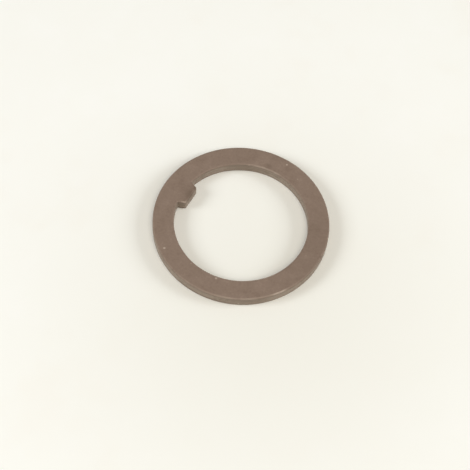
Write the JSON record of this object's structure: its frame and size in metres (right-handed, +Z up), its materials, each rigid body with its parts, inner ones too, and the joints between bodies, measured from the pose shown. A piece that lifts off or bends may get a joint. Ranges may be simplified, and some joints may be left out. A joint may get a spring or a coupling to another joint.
{
  "type": "tanged thrust washer",
  "caption": "Flat round steel ring with rounded edges and a tapered tang in its bore that keys it to a grooved shaft, to carry end load without turning.",
  "frame": {"origin": "centre of the bore, on the face that the washer rests on", "axes": "+Z up along the bore's axis, through the plate; +X from the tang towards the middle of the bore, so the tang stands on the -X side"},
  "size_m": [0.05, 0.05, 0.0035],
  "materials": {
    "washer_steel": "matte brown-grey oxide, tumbled, rubbed a little brighter along the edges"
  },
  "bodies": {
    "root": {"thrust_washer": "washer_steel"}
  },
  "joints": []
}
